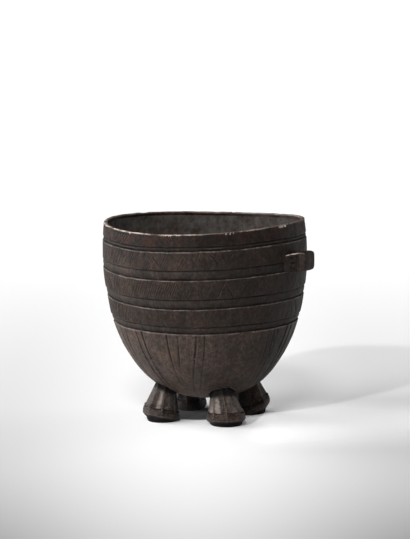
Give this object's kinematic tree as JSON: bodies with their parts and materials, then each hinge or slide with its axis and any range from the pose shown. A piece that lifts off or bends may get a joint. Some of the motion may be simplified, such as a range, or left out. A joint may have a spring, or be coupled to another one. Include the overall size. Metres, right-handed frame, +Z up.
{
  "type": "carved wooden food bowl",
  "caption": "Deep round carved wooden food bowl with grooved and hatched bands, standing on flared faceted feet, with one lug handle at its side.",
  "frame": {"origin": "on the floor under the middle of the overall length and width; the bowl's own axis is 10 mm from it, away from the lug", "axes": "+Z up through the bowl's mouth, +X along the lug handle, away from the bowl"},
  "size_m": [0.2262, 0.2056, 0.2036],
  "materials": {
    "bowl_wood": "dark brown patina, satin, worn paler on edges",
    "foot_wood": "dark brown, rubbed satin on the facets, drier on the soles",
    "lug_wood": "dark brown, polished by handling"
  },
  "bodies": {
    "root": {"bowl": "bowl_wood", "foot_front_left": "foot_wood", "foot_front_right": "foot_wood", "foot_rear_right": "foot_wood", "foot_rear_left": "foot_wood", "lug_handle": "lug_wood"}
  },
  "joints": []
}
